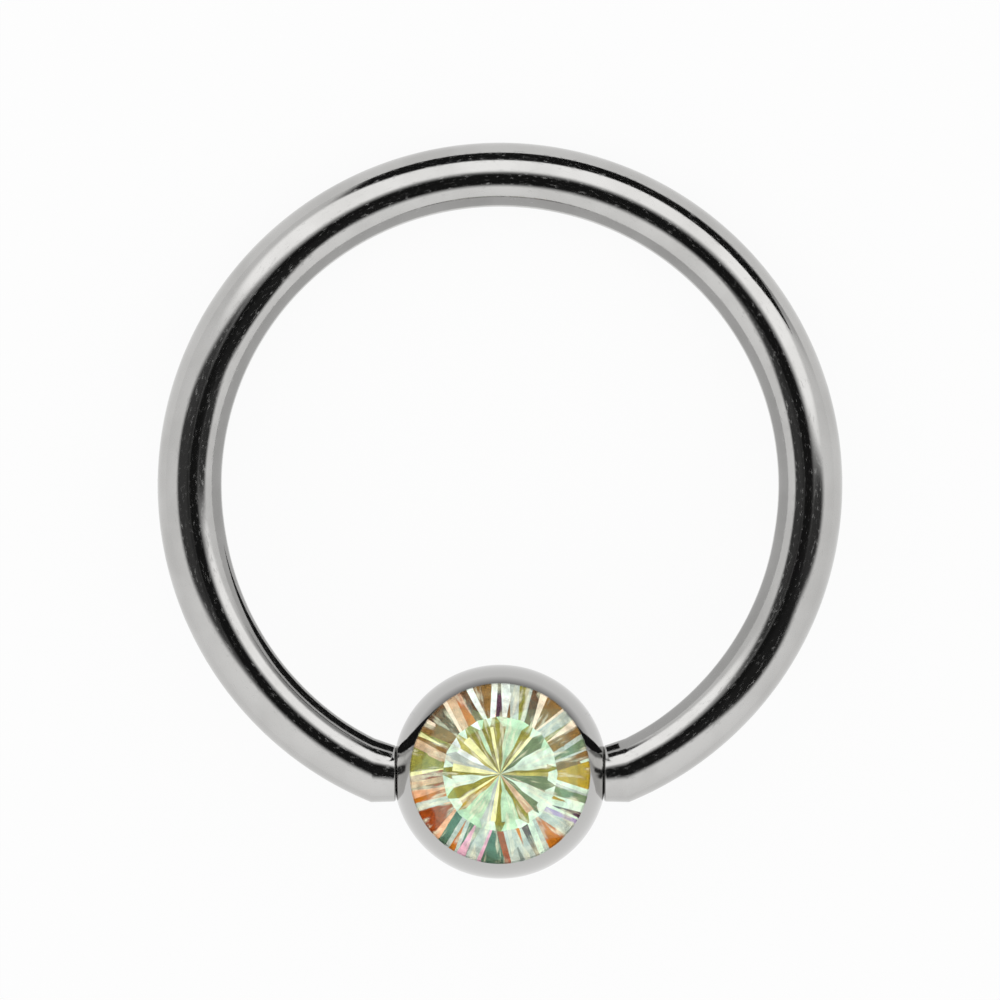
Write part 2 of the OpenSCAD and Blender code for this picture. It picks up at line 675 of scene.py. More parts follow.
@dataclass
class WireRing:
    """The hoop of wire with its two bent ends and the locating tips.

    Attributes:
        bead_radius: Radius of the bead that the ends face.
        wire_radius: Radius of the wire.
        hoop_inner_radius: Inner radius of the hoop.
        bend_radius: Radius of the centre line in the CAD's bend, which sets the hoop's centre.
        end_drop: How much thinner the wire is at each bend, in radius.
        thin_angle: Where the wire starts to thin, counted round the hoop from the bead.
        fan_angle: Where its sections start to lean towards the bend.
        bend_outer_x: Where the bend's crease meets the outer side.
        bend_inner_x: Where it meets the inner side.
        stub_outer_y: Height of the stub's outer side where the rounding of the face starts.
        stub_inner_y: Height of its inner side there.
        stub_steps: Stations along the stub, up to the crease.
        face_radius: Radius of the cupped end face.
        end_round: Length of the rounded rim of each end face.
        end_gap: From the bead to the CAD's bend, which sets the hoop's centre.
        cup_gap: Space between each cupped end face and the bead.
        tip_radius: Radius of the locating tips.
        tip_in: Length of each tip inside the bead.
        tip_round: Radius of the rounded rim of each tip.
        around: Points round the wire.
        hoop_steps: Stations from the fan to the far side of the hoop.
        fan_steps: Stations in each fan.
        crease: Distance to the stations on each side of the crease, which keeps it crisp.
        round_steps: Steps in each rounded rim.
        sharp_angle: Edges that turn by more than this stay sharp.
    """

    bead_radius: float
    wire_radius: float = 0.6 * MM
    hoop_inner_radius: float = 5.2 * MM
    bend_radius: float = 0.64 * MM
    end_drop: float = 0.04 * MM
    thin_angle: float = math.radians(80)
    fan_angle: float = math.radians(33)
    bend_outer_x: float = 2.41 * MM
    bend_inner_x: float = 2.34 * MM
    stub_outer_y: float = -0.56 * MM
    stub_inner_y: float = 0.5 * MM
    stub_steps: int = 2
    face_radius: float = 0.5 * MM
    end_round: float = 0.035 * MM
    end_gap: float = 0.09 * MM
    cup_gap: float = 0.012 * MM
    tip_radius: float = 0.3 * MM
    tip_in: float = 0.32 * MM
    tip_round: float = 0.1 * MM
    around: int = 96
    hoop_steps: int = 190
    fan_steps: int = 24
    crease: float = 0.02 * MM
    round_steps: int = 8
    sharp_angle: float = math.radians(40)

    @property
    def outer_radius(self) -> float:
        """Outer radius of the hoop."""
        return self.hoop_inner_radius + 2 * self.wire_radius

    @property
    def end_inner_radius(self) -> float:
        """Inner radius of the hoop where the wire has thinned."""
        return self.hoop_inner_radius + 2 * self.end_drop

    @property
    def hoop_centre(self) -> Vector:
        """Centre of the hoop, in the flat drawing."""
        side = self.hoop_inner_radius + self.wire_radius - self.bend_radius
        face_end = self.bead_radius + self.end_gap
        return Vector((0.0, math.sqrt(side**2 - face_end**2) + self.bend_radius, 0.0))

    def on_hoop(self, radius: float, turn: float) -> Vector:
        """Finds a place on the +X half of the hoop, at an angle from the bead's side."""
        return self.hoop_centre + Vector((radius * math.sin(turn), -radius * math.cos(turn), 0.0))

    def oval(self, x: float, middle: float, radius: float) -> Station:
        """Makes a round station that stands across X, with its centre at the height of the middle."""
        return Station(Vector((x, middle - radius, 0.0)), Vector((x, middle + radius, 0.0)), radius)

    def end_stations(self) -> list[Station]:
        """Lists the stations of the tip, the face and its rounded rim, on the +X side.

        Returns:
            The stations, from the tip's pole outwards.
        """
        tip_start = self.bead_radius - self.tip_in
        made = [self.oval(tip_start, 0.0, 0.0)]
        for turn in steps(0.0, math.pi / 2, self.round_steps):
            x = tip_start + self.tip_round * (1 - math.cos(turn))
            made.append(self.oval(x, 0.0, self.tip_radius - self.tip_round * (1 - math.sin(turn))))
        middle = (self.stub_outer_y + self.stub_inner_y) / 2
        stub_radius = (self.stub_inner_y - self.stub_outer_y) / 2
        for share in steps(0.0, 1.0, self.round_steps):
            radius = self.tip_radius + share * (self.face_radius - self.tip_radius)
            made.append(self.oval(self.cup_x(radius), share * middle, radius))
        start = made[-1].centre.x
        for turn in steps(0.0, math.pi / 2, self.round_steps)[1:]:
            x = start + self.end_round * (1 - math.cos(turn))
            drop = (stub_radius - self.face_radius) * (1 - math.sin(turn))
            made.append(self.oval(x, middle, stub_radius - drop))
        return made

    def cup_x(self, radius: float) -> float:
        """Finds where the cupped end face stands, at one distance from its axis."""
        return math.sqrt((self.bead_radius + self.cup_gap) ** 2 - radius**2)

    def half_stations(self) -> list[Station]:
        """Lists the stations from the tip on the +X side to the far side of the hoop.

        Returns:
            The stations, in order.
        """
        made = self.end_stations()
        rim = made[-1]
        outer_turn = math.asin(self.bend_outer_x / self.outer_radius)
        inner_turn = math.asin(self.bend_inner_x / self.end_inner_radius)
        bend = Station(
            self.on_hoop(self.outer_radius, outer_turn),
            self.on_hoop(self.end_inner_radius, inner_turn),
            self.wire_radius - self.end_drop,
        )
        near_bend = 1 - self.crease / (bend.centre - rim.centre).length
        for share in [*steps(0.0, near_bend, self.stub_steps)[1:], 1.0]:
            made.append(
                Station(
                    rim.outer.lerp(bend.outer, share),
                    rim.inner.lerp(bend.inner, share),
                    rim.depth + share * (bend.depth - rim.depth),
                )
            )
        past_bend = self.crease / (self.outer_radius * (self.fan_angle - outer_turn))
        for share in [past_bend, *steps(0.0, 1.0, self.fan_steps)[1:]]:
            made.append(
                self.hoop_station(
                    outer_turn + share * (self.fan_angle - outer_turn),
                    inner_turn + share * (self.fan_angle - inner_turn),
                )
            )
        for turn in steps(self.fan_angle, math.pi, self.hoop_steps)[1:]:
            made.append(self.hoop_station(turn, turn))
        return made

    def hoop_station(self, outer_turn: float, inner_turn: float) -> Station:
        """Makes a station on the +X half of the hoop.

        Args:
            outer_turn: Angle of its outer point from the bead's side.
            inner_turn: Angle of its inner point.

        Returns:
            The station.
        """
        share = (self.thin_angle - inner_turn) / (self.thin_angle - self.fan_angle)
        drop = self.end_drop * min(1.0, max(0.0, share))
        outer = self.on_hoop(self.outer_radius, outer_turn)
        inner = self.on_hoop(self.hoop_inner_radius + 2 * drop, inner_turn)
        return Station(outer, inner, self.wire_radius - drop)

    def build(self) -> bpy.types.Object:
        """Sweeps the wire along its stations.

        Returns:
            The ring, in the flat drawing.
        """
        half = self.half_stations()
        stations = half + [station.mirrored() for station in reversed(half[:-1])]
        piece = PieceMesh("wire_ring")
        circles: list[list[int]] = []
        along = 0.0
        last = stations[0].centre
        for station in stations:
            along += (station.centre - last).length
            last = station.centre
            outward = station.outer - station.centre
            count = self.around if station.depth else 1
            circle = []
            for i in range(count):
                turn = FULL_TURN * i / count
                up = station.depth * math.sin(turn)
                place = station.centre + outward * math.cos(turn) + Vector((0.0, 0.0, up))
                circle.append(piece.point(place, Vector((along, outward.length * math.cos(turn), up))))
            circles.append(circle)
        for behind, here in zip(circles, circles[1:]):
            piece.join_loops(here, behind)
        return piece.build(self.sharp_angle)

    def make(self, place: RestingPlace, steel: PolishedSteel) -> bpy.types.Object:
        """Builds, dresses and seats the ring.

        Args:
            place: Where it rests.
            steel: Its finish.

        Returns:
            The finished ring.
        """
        ring = self.build()
        ring.data.materials.append(steel.material())
        seat(ring, place, Body.HOOP, "ring")
        return ring


@dataclass
class SettingBead:
    """The steel bead: a ball with a pocket for the stone and a dimple at each side.

    Attributes:
        radius: Radius of the ball.
        bezel_width: Width of the metal round the stone.
        bezel_wall: Thickness of the wall round the stone's girdle.
        rim_cover: How far the rim reaches in over the stone.
        crest_width: Width of the rim from its burnished crest in to the opening.
        crest_round: Radius of the crest.
        crown_angle: Angle of the stone's crown, which the rim's underside follows.
        girdle_thickness: Thickness of the stone's girdle.
        pavilion_angle: Angle of the stone's pavilion, which the seat follows.
        clearance: Space between the stone and its seat.
        dimple_radius: Radius of the dimples.
        dimple_depth: Depth of the dimples from the ball's surface.
        around: Points round the ball.
        side_steps: Steps from the back of the ball to the rim.
        round_steps: Steps in each burnished edge.
        ball_slack: How far below the ball's surface a corner may lie and still shade as the ball.
        sharp_angle: Edges that turn by more than this stay sharp.
    """

    radius: float = 2.0 * MM
    bezel_width: float = 0.35 * MM
    bezel_wall: float = 0.1 * MM
    rim_cover: float = 0.05 * MM
    crest_width: float = 0.025 * MM
    crest_round: float = 0.012 * MM
    crown_angle: float = math.radians(36)
    girdle_thickness: float = 0.05 * MM
    pavilion_angle: float = math.radians(41)
    clearance: float = 0.02 * MM
    dimple_radius: float = 0.33 * MM
    dimple_depth: float = 0.35 * MM
    around: int = 192
    side_steps: int = 120
    round_steps: int = 6
    ball_slack: float = 0.003 * MM
    sharp_angle: float = math.radians(35)

    @property
    def opening_radius(self) -> float:
        """Radius of the hole that the stone shows through."""
        return self.radius - self.bezel_width

    @property
    def stone_radius(self) -> float:
        """Radius of the stone at its girdle."""
        return self.opening_radius + self.rim_cover

    @property
    def seat_radius(self) -> float:
        """Radius of the pocket at the girdle."""
        return self.stone_radius + self.clearance

    @property
    def girdle_top(self) -> float:
        """Height of the upper edge of the girdle."""
        return math.sqrt(self.radius**2 - (self.seat_radius + self.bezel_wall) ** 2)

    @property
    def culet(self) -> float:
        """Height of the stone's lowest point."""
        return self.girdle_top - self.girdle_thickness - self.stone_radius * math.tan(self.pavilion_angle)

    def half_section(self) -> list[tuple[float, float]]:
        """Lists the half section of the ball and its pocket.

        Returns:
            Radius and height, from the back of the ball over the rim to the pocket's lowest point.
        """
        crest_radius = self.opening_radius + self.crest_width
        crest = (crest_radius, math.sqrt(self.radius**2 - crest_radius**2))
        edge_turn = math.asin(crest_radius / self.radius) + self.crest_round / self.radius
        section = [
            (self.radius * math.sin(turn), self.radius * math.cos(turn))
            for turn in steps(math.pi, edge_turn, self.side_steps)
        ]
        under = self.girdle_top + self.clearance
        ledge = self.seat_radius - self.opening_radius
        foot = (self.opening_radius, under + ledge * math.tan(self.crown_angle))
        share = self.crest_round / (crest[1] - foot[1])
        inside = (crest[0] + share * (foot[0] - crest[0]), crest[1] + share * (foot[1] - crest[1]))
        section += self.eased(section[-1], crest, inside)
        seat_low = self.culet - self.clearance / math.cos(self.pavilion_angle)
        section.append(foot)
        section.append((self.seat_radius, under))
        section.append((self.seat_radius, seat_low + self.seat_radius * math.tan(self.pavilion_angle)))
        section.append((0.0, seat_low))
        return section

    def eased(
        self, start: tuple[float, float], corner: tuple[float, float], end: tuple[float, float]
    ) -> list[tuple[float, float]]:
        """Rounds a corner of the section.

        Args:
            start: Where the rounding starts.
            corner: The sharp corner.
            end: Where it ends.

        Returns:
            Points on the rounded corner, its start left out.
        """
        made = []
        for share in steps(0.0, 1.0, self.round_steps)[1:]:
            near = (1 - share) ** 2
            middle = 2 * share * (1 - share)
            far = share**2
            made.append(
                (
                    near * start[0] + middle * corner[0] + far * end[0],
                    near * start[1] + middle * corner[1] + far * end[1],
                )
            )
        return made

    def ball(self) -> bpy.types.Object:
        """Turns the half section round the stone's axis.

        Returns:
            The bead without its dimples.
        """
        piece = PieceMesh("setting_bead")
        loops = []
        for radius, height in self.half_section():
            count = 1 if radius < TOUCH else self.around
            loops.append(piece.circle(radius, height, count))
        piece.join_all(loops)
        return piece.build(self.sharp_angle)

    def cutter(self) -> bpy.types.Object:
        """Makes the two pins whose shape the dimples take.

        Returns:
            One object with both pins.
        """
        piece = PieceMesh("dimple_pins")
        count = self.around // 2
        for side in (-1.0, 1.0):
            deep = side * (self.radius - self.dimple_depth)
            clear = side * (self.radius + self.dimple_depth)
            loops = [[piece.point(Vector((deep, 0.0, 0.0)), Vector())]]
            for x in (deep, clear):
                loops.append([])
                for i in range(count):
                    turn = side * FULL_TURN * i / count
                    across = self.dimple_radius * math.cos(turn)
                    up = self.dimple_radius * math.sin(turn)
                    loops[-1].append(piece.point(Vector((x, across, up)), Vector()))
            loops.append([piece.point(Vector((clear, 0.0, 0.0)), Vector())])
            piece.join_all(loops)
        return piece.build(self.sharp_angle)

    def build(self) -> bpy.types.Object:
        """Cuts the dimples and gives the ball the normals of a true sphere.

        Returns:
            The bead, in the flat drawing.
        """
        bead = self.ball()
        pins = self.cutter()
        cut = bead.modifiers.new("dimples", "BOOLEAN")
        cut.operation = "DIFFERENCE"
        cut.solver = "EXACT"
        cut.object = pins
        evaluated = bead.evaluated_get(bpy.context.evaluated_depsgraph_get())
        mesh = bpy.data.meshes.new_from_object(evaluated)
        bead.modifiers.clear()
        bead.data = mesh
        mesh.name = bead.name
        bpy.data.objects.remove(pins)
        self.round_off(mesh)
        return bead

    def round_off(self, mesh: bpy.types.Mesh) -> None:
        """Sets the normals of the ball's own surface to those of a sphere.

        Args:
            mesh: The bead's mesh, changed in place.
        """
        mesh.shade_smooth()
        mesh.set_sharp_from_angle(angle=self.sharp_angle)
        on_ball = self.radius - self.ball_slack
        normals = [Vector() for _ in mesh.loops]
        for polygon in mesh.polygons:
            places = [mesh.vertices[v].co for v in polygon.vertices]
            if min(place.length for place in places) < on_ball:
                continue
            for loop, place in zip(polygon.loop_indices, places):
                normals[loop] = place.normalized()
        mesh.normals_split_custom_set(normals)

    def make(self, place: RestingPlace, steel: PolishedSteel) -> bpy.types.Object:
        """Builds, dresses and seats the bead.

        Args:
            place: Where it rests.
            steel: Its finish.

        Returns:
            The finished bead.
        """
        bead = self.build()
        bead.data.materials.append(steel.material())
        seat(bead, place, Body.JEWELLED_BEAD, "bead")
        return bead


class Role(Enum):
    """Which of a kite's painted colours a splinter shows: its rays, bars and dark wedges are painted
    reflection over the coat's tints.
    """

    RAY = "ray"
    LEFT_ARM = "left_arm"
    RIGHT_ARM = "right_arm"
    GAP = "gap"
    COLLAR = "collar"
    WEDGE = "wedge"
    LEFT_FLANK = "left_flank"
    RIGHT_FLANK = "right_flank"
    GROUND = "ground"
    BAR = "bar"


@dataclass(frozen=True)
class KiteCoatAndPaintedFire:
    """The colours painted for one kite, and where they are centred: the coat's tints with painted
    reflection and fire.

    Attributes:
        clock: Where its bright ray lies, in degrees on a clock face, clockwise from the far side.
        star: The left arm of the star, the ray and the right arm.
        gap: The clear field between the arms of two kites.
        rim: Outside the collar: the wedge, its left and right flanks, the ground and the bar.
    """

    clock: float
    star: tuple[Tint, Tint, Tint]
    gap: Tint
    rim: tuple[Tint, Tint, Tint, Tint, Tint]

    def tint(self, role: Role) -> Tint:
        """Finds the colour of one of the kite's splinters.

        Args:
            role: Which splinter it is.

        Returns:
            Its colour.
        """
        left_arm, ray, right_arm = self.star
        wedge, left_flank, right_flank, ground, bar = self.rim
        return {
            Role.RAY: ray,
            Role.LEFT_ARM: left_arm,
            Role.RIGHT_ARM: right_arm,
            Role.GAP: self.gap,
            Role.COLLAR: Tint.PALE_MINT,
            Role.WEDGE: wedge,
            Role.LEFT_FLANK: left_flank,
            Role.RIGHT_FLANK: right_flank,
            Role.GROUND: ground,
            Role.BAR: bar,
        }[role]


@dataclass(frozen=True)
class Splinter:
    """One splinter of painted colour, the coat's tint with painted reflection: the stretch up to a straight
    border.

    Attributes:
        role: Which of the kite's colours it shows.
        inner_end: Where its far border meets the ring's inner edge, in degrees from the kite's ray.
        outer_end: Where that border meets the ring's outer edge, in degrees from the kite's ray.
    """

    role: Role
    inner_end: float
    outer_end: float


@dataclass(frozen=True)
class SplinterRing:
    """A ring of painted splinters round the stone, charted once and repeated for each kite.

    Attributes:
        inner: Radius of its inner edge.
        outer: Radius of its outer edge.
        chart: The splinters of one kite. The first one reaches back to the kite before.
    """

    inner: float
    outer: float
    chart: tuple[Splinter, ...]


# The splinters are painted reflection and fire, laid over the coat's tints.
# Each splinter: role, then its far border at the ring's inner and outer edge, in degrees from the ray.
CHART = (
    SplinterRing(0.0, 0.3 * MM, (
        Splinter(Role.GAP, -24, -17),
        Splinter(Role.LEFT_ARM, -8, -5),
        Splinter(Role.RAY, 8, 5),
        Splinter(Role.RIGHT_ARM, 27, 20),
    )),
    SplinterRing(0.3 * MM, 0.52 * MM, (
        Splinter(Role.GAP, -17, -11),
        Splinter(Role.LEFT_ARM, -5, -3.5),
        Splinter(Role.RAY, 5, 3.5),
        Splinter(Role.RIGHT_ARM, 20, 14),
    )),
    SplinterRing(0.52 * MM, 0.9 * MM, (
        Splinter(Role.GAP, -11, -12),
        Splinter(Role.LEFT_ARM, -3.5, -2.5),
        Splinter(Role.RAY, 3.5, 2.5),
        Splinter(Role.RIGHT_ARM, 14, 17),
    )),
    SplinterRing(0.9 * MM, 1.07 * MM, (
        Splinter(Role.GAP, -12, -7),
        Splinter(Role.LEFT_ARM, -2.5, -5),
        Splinter(Role.COLLAR, 2.5, 7),
        Splinter(Role.RIGHT_ARM, 17, 10),
        Splinter(Role.GAP, 21, 21),
    )),
    SplinterRing(1.07 * MM, 1.72 * MM, (
        Splinter(Role.GROUND, -20, -26),
        Splinter(Role.RIGHT_FLANK, -19, -21),
        Splinter(Role.GROUND, -14, -18),
        Splinter(Role.LEFT_FLANK, -7, -14),
        Splinter(Role.BAR, -4, -9),
        Splinter(Role.WEDGE, 2, 7),
        Splinter(Role.BAR, 4, 9),
        Splinter(Role.GROUND, 9, 12),
        Splinter(Role.RIGHT_FLANK, 17, 15),
        Splinter(Role.BAR, 18, 20),
        Splinter(Role.WEDGE, 25, 21),
    )),
)

# Each kite's colours are painted: the coat's tints, with bright rays, bars and dark wedges of painted
# reflection.
# Each kite: clock, then left arm, ray and right arm, then the gap. On its second line: wedge, left
# flank, right flank, ground and bar.
KITE_COAT_AND_PAINTED_FIRE = (
    KiteCoatAndPaintedFire(40, (Tint.OLIVE, Tint.LEMON, Tint.SAGE), Tint.MINT,
             (Tint.BROWN, Tint.UMBER, Tint.OLIVE, Tint.GREY_MINT, Tint.CREAM)),
    KiteCoatAndPaintedFire(93, (Tint.OLIVE, Tint.KHAKI, Tint.SAGE), Tint.PALE_MINT,
             (Tint.GOLD, Tint.BROWN, Tint.SAGE, Tint.GREY_MINT, Tint.PALE_MINT)),
    KiteCoatAndPaintedFire(140, (Tint.SAGE, Tint.TAN, Tint.OLIVE), Tint.PALE_MINT,
             (Tint.AMBER, Tint.LILAC, Tint.PLUM, Tint.PALE_MINT, Tint.GREY_MINT)),
    KiteCoatAndPaintedFire(188, (Tint.OLIVE, Tint.LEMON, Tint.GREY_MINT), Tint.MINT,
             (Tint.PINE, Tint.RUST, Tint.GREY_GREEN, Tint.GREY_MINT, Tint.ROSE)),
    KiteCoatAndPaintedFire(236, (Tint.GOLD, Tint.LEMON, Tint.OLIVE), Tint.MINT,
             (Tint.RUST, Tint.PINE, Tint.AMBER, Tint.GREY_MINT, Tint.PEACH)),
    KiteCoatAndPaintedFire(279, (Tint.OLIVE, Tint.LEMON, Tint.GREY_MINT), Tint.PALE_MINT,
             (Tint.OLIVE, Tint.RUST, Tint.BROWN, Tint.TAN, Tint.LEMON)),
    KiteCoatAndPaintedFire(316, (Tint.KHAKI, Tint.LEMON, Tint.OLIVE), Tint.WHITE_MINT,
             (Tint.UMBER, Tint.BROWN, Tint.AMBER, Tint.TAN, Tint.CREAM)),
    KiteCoatAndPaintedFire(348, (Tint.OLIVE, Tint.LEMON, Tint.OLIVE), Tint.MINT,
             (Tint.BROWN, Tint.OLIVE, Tint.PLUM, Tint.CREAM, Tint.WHITE_MINT)),
)


@dataclass
class BrilliantStone:
    """The round brilliant: table, stars, kites, upper halves, girdle, lower halves and mains.

    Attributes:
        bead: The bead whose pocket it fits.
        kites: Number of kite facets.
        table_share: Table, corner to corner, as a share of the diameter.
        star_share: Ring of the star points, as a share of the diameter.
        lower_share: Ring where the mains meet the lower halves, as a share of the diameter.
        fire: The painted colours of each kite, clockwise: the coat's tints with painted reflection and
            fire.
        chart: Rings of splinters in the crown, from the middle out.
        wander: How far the splinters' borders stray from the chart, in degrees.
        seed: Picks one set of strays.
    """

    bead: SettingBead
    kites: int = 8
    table_share: float = 0.57
    star_share: float = 0.76
    lower_share: float = 0.2
    fire: tuple[KiteCoatAndPaintedFire, ...] = KITE_COAT_AND_PAINTED_FIRE
    chart: tuple[SplinterRing, ...] = CHART
    wander: float = 3.0
    seed: int = 3

    @property
    def sector(self) -> float:
        """Half of one kite's share of the circle, in degrees."""
        return DEGREES_ROUND / (2 * self.kites)

    def build(self) -> bpy.types.Object:
        """Cuts the stone.

        Returns:
            The stone, in the flat drawing, with its facets flat.
        """
        piece = PieceMesh("brilliant_stone")
        n = self.kites
        half = math.pi / n
        radius = self.bead.stone_radius
        table_radius = radius * self.table_share
        star_radius = radius * self.star_share
        lower_radius = radius * self.lower_share
        rise = math.tan(self.bead.crown_angle)
        fall = math.tan(self.bead.pavilion_angle)
        table_height = self.bead.girdle_top + (radius - table_radius) * rise
        star_height = table_height - (star_radius * math.cos(half) - table_radius) * rise
        lower_height = self.bead.culet + lower_radius * math.cos(half) * fall
        table = piece.circle(table_radius, table_height, n)
        star = piece.circle(star_radius, star_height, n, half)
        upper = piece.circle(radius, self.bead.girdle_top, 2 * n)
        under = piece.circle(radius, self.bead.girdle_top - self.bead.girdle_thickness, 2 * n)
        lower = piece.circle(lower_radius, lower_height, n, half)
        culet = piece.circle(0.0, self.bead.culet, 1)[0]
        piece.faces.append(list(table))
        for i in range(n):
            ahead = (i + 1) % n
            behind = i - 1
            piece.faces.append([table[i], star[i], table[ahead]])
            piece.faces.append([table[i], star[behind], upper[2 * i], star[i]])
            piece.faces.append([star[i], upper[2 * i], upper[2 * i + 1]])
            piece.faces.append([star[i], upper[2 * i + 1], upper[2 * ahead]])
        for i in range(2 * n):
            ahead = (i + 1) % (2 * n)
            piece.faces.append([upper[i], under[i], under[ahead], upper[ahead]])
        for i in range(n):
            ahead = (i + 1) % n
            piece.faces.append([lower[i], under[2 * i + 1], under[2 * i]])
            piece.faces.append([lower[i], under[2 * ahead], under[2 * i + 1]])
            piece.faces.append([culet, lower[i], under[2 * i], lower[i - 1]])
        stone = piece.build(EVERY_EDGE_SHARP)
        self.part_splinters(stone.data)
        stone.data.shade_flat()
        return stone

    def splinters(self, ring: SplinterRing) -> list[tuple[Tint, float, float]]:
        """Works out one ring's splinters all the way round.

        Args:
            ring: The ring.

        Returns:
            For each splinter its tint, and where it ends on the inner and the outer edge.
        """
        stray = random.Random(self.seed)
        made = []
        for kite in self.fire:
            for splinter in ring.chart:
                shift = kite.clock + stray.uniform(-self.wander, self.wander)
                inner_end = shift + splinter.inner_end
                made.append((kite.tint(splinter.role), inner_end, shift + splinter.outer_end))
        return made

    def tint_at(self, ring: SplinterRing, place: Vector) -> Tint:
        """Finds the tint of a place in a ring.

        Args:
            ring: The ring.
            place: The place, at height 0.

        Returns:
            The tint of the splinter there.
        """
        share = (place.length - ring.inner) / (ring.outer - ring.inner)
        clock = math.degrees(math.atan2(place.x, place.y)) % DEGREES_ROUND
        made = [(tint, inner + share * (outer - inner)) for tint, inner, outer in self.splinters(ring)]
        if clock < made[-1][1] - DEGREES_ROUND:
            clock += DEGREES_ROUND
        return next((tint for tint, end in made if clock < end), made[0][0])

    def part_splinters(self, mesh: bpy.types.Mesh) -> None:
        """Parts the crown's facets along the edges of the splinters. No facet leaves its plane.

        Args:
            mesh: The stone's mesh, changed in place.
        """
        cut = bmesh.new()
        cut.from_mesh(mesh)
        for i in range(self.kites):
            line = clock_spot(i * self.sector, 1.0)
            self.part(cut, self.crown(cut), line, -line)
        for ring in self.chart[:-1]:
            for i in range(2 * self.kites):
                start = clock_spot(i * self.sector, ring.outer)
                end = clock_spot((i + 1) * self.sector, ring.outer)
                middle = start + end
                near = [
                    face for face in self.crown(cut)
                    if middle.angle(self.flat_centre(face)) < math.radians(self.sector) / 2
                ]
                self.part(cut, near, start, end)
        for ring in self.chart:
            for _, inner_end, outer_end in self.splinters(ring):
                start = clock_spot(inner_end, ring.inner)
                end = clock_spot(outer_end, ring.outer)
                near = [
                    face for face in self.crown(cut)
                    if ring is self.ring_of(face) and end.dot(self.flat_centre(face)) > 0
                ]
                self.part(cut, near, start, end)
        cut.to_mesh(mesh)
        cut.free()

    def part(self, cut: bmesh.types.BMesh, faces: Sequence[Any], start: Vector, end: Vector) -> None:
        """Parts faces along the upright plane through two places.

        Args:
            cut: The stone, changed in place.
            faces: The faces that the cut may part.
            start: First place.
            end: Second place.
        """
        edges = {edge for face in faces for edge in face.edges}
        corners = {corner for face in faces for corner in face.verts}
        across = (end - start).cross(Vector((0.0, 0.0, 1.0)))
        bmesh.ops.bisect_plane(
            cut,
            geom=[*faces, *edges, *corners],
            dist=TOUCH,
            plane_co=start,
            plane_no=across.normalized(),
        )

    def crown(self, cut: bmesh.types.BMesh) -> list[Any]:
        """Lists the faces above the girdle."""
        return [face for face in cut.faces if face.calc_center_median().z > self.bead.girdle_top]

    @staticmethod
    def flat_centre(face: Any) -> Vector:
        """Finds the middle of a face, at height 0."""
        centre = face.calc_center_median()
        return Vector((centre.x, centre.y, 0.0))

    def ring_of(self, face: Any) -> SplinterRing:
        """Finds the ring of colour that a face lies in.

        Args:
            face: A face of the crown.

        Returns:
            The ring.
        """
        sector = math.radians(self.sector)
        centre = self.flat_centre(face)
        clock = math.atan2(centre.x, centre.y)
        off_middle = (clock % sector) - sector / 2
        reach = centre.length * math.cos(off_middle) / math.cos(sector / 2)
        for ring in self.chart:
            if reach < ring.outer:
                return ring
        return self.chart[-1]

    def dress(self, stone: bpy.types.Object, glass: CoatedCrystal, foil: MirrorFoil) -> None:
        """Gives each facet its material and tint: on the crown the coat's colour with painted reflection
        and fire, clear elsewhere.

        Args:
            stone: The stone, changed in place.
            glass: Finish of the crown.
            foil: Finish of the pavilion.
        """
        mesh = stone.data
        mesh.materials.append(glass.material())
        mesh.materials.append(foil.material())
        reader = bmesh.new()
        reader.from_mesh(mesh)
        tints = []
        backed = []
        for face in reader.faces:
            centre = self.flat_centre(face)
            crowned = face.calc_center_median().z > self.bead.girdle_top
            tint = self.tint_at(self.ring_of(face), centre) if crowned else Tint.CLEAR
            tints += tint.rgba
            backed.append(int(face.normal.z < 0 and not crowned))
        reader.free()
        mesh.polygons.foreach_set("material_index", backed)
        mesh.attributes.new(COAT_TINT_AND_PAINTED_FIRE, "FLOAT_COLOR", "FACE").data.foreach_set("color", tints)

    def make(self, place: RestingPlace, glass: CoatedCrystal, foil: MirrorFoil) -> bpy.types.Object:
        """Cuts, dresses and sets the stone.

        Args:
            place: Where it rests.
            glass: Finish of the crown.
            foil: Finish of the pavilion.

        Returns:
            The finished stone.
        """
        stone = self.build()
        self.dress(stone, glass, foil)
        seat(stone, place, Body.JEWELLED_BEAD, "stone")
        return stone


@dataclass(frozen=True)
class TentPatch:
    """A soft-edged patch of light or dark on the light tent.

    Places are degrees from the top of the tent, to the right and towards the far side.

    Attributes:
        name: What the patch is.
        right: Place of its centre, to the right.
        far: Place of its centre, towards the far side.
        half_width: Half its size along its own width.
        half_height: Half its size across that.
        turn: How far it is turned anticlockwise.
        squareness: 2 for an ellipse, more for a box with round corners.
        softness: Width of its soft edge, as a share of its size.
        light: How brightly it shines, where the tent's cloth is about 1.
    """

    name: str
    right: float
    far: float
    half_width: float
    half_height: float
    turn: float
    squareness: float
    softness: float
    light: float

    def mask(self, sheet: ShaderSheet, right: Any, far: Any) -> bpy.types.NodeSocket:
        """Works out where the patch covers the tent.

        Args:
            sheet: Where the nodes go.
            right: Degrees to the right.
            far: Degrees towards the far side.

        Returns:
            1 on the patch and 0 away from it.
        """
        cosine = math.cos(math.radians(self.turn))
        sine = math.sin(math.radians(self.turn))
        across = sheet.math("SUBTRACT", right, self.right)
        along = sheet.math("SUBTRACT", far, self.far)
        own_across = sheet.math("MULTIPLY", across, cosine)
        own_along = sheet.math("MULTIPLY", along, cosine)
        wide = sheet.math("ADD", own_across, sheet.math("MULTIPLY", along, sine))
        high = sheet.math("SUBTRACT", own_along, sheet.math("MULTIPLY", across, sine))
        parts = []
        for distance, half_size in ((wide, self.half_width), (high, self.half_height)):
            share = sheet.math("ABSOLUTE", sheet.math("DIVIDE", distance, half_size))
            parts.append(sheet.math("POWER", share, self.squareness))
        size = sheet.math("POWER", sheet.math("ADD", *parts), 1 / self.squareness)
        edge = (1 + self.softness, 1 - self.softness)
        return sheet.mapped(size, edge, smooth=True)


